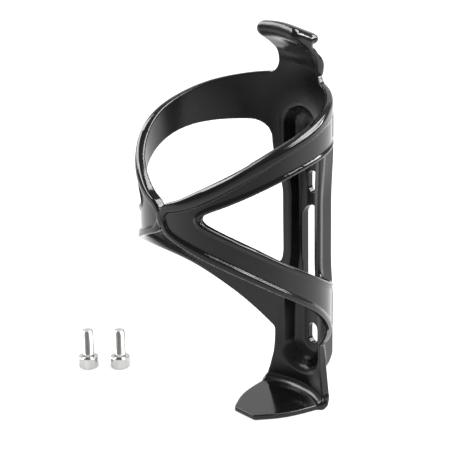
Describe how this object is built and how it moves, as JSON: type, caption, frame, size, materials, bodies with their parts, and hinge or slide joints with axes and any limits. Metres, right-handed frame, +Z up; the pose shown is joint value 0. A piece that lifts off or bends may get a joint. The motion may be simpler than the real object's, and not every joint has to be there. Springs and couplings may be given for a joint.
{
  "type": "bicycle water bottle cage",
  "caption": "Moulded plastic bicycle bottle cage: crossed-arm wrap, slotted trough spine, hook over the bottle, foot below, with loose socket-head screws.",
  "frame": {"origin": "midway between the two bolt slots, on the flat back face of the spine", "axes": "+Z up along the bottle's axis, +Y out of the back face towards the bicycle's tube, +X to the right of someone who faces the open front"},
  "size_m": [0.1234, 0.0814, 0.1565],
  "materials": {
    "cage_plastic": "glossy black injection-moulded nylon",
    "screw_steel": "bright stainless steel"
  },
  "bodies": {
    "cage": {"cage_body": "cage_plastic"},
    "screw_1": {"mounting_screw_1": "screw_steel"},
    "screw_2": {"mounting_screw_2": "screw_steel"}
  },
  "joints": [
    {"name": "screw_1_travel", "type": "slide", "parent": "cage", "child": "screw_1", "axis": [0, 0, 1], "range_m": [0, 0.012]},
    {"name": "screw_2_travel", "type": "slide", "parent": "cage", "child": "screw_2", "axis": [0, 0, 1], "range_m": [0, 0.012]}
  ]
}
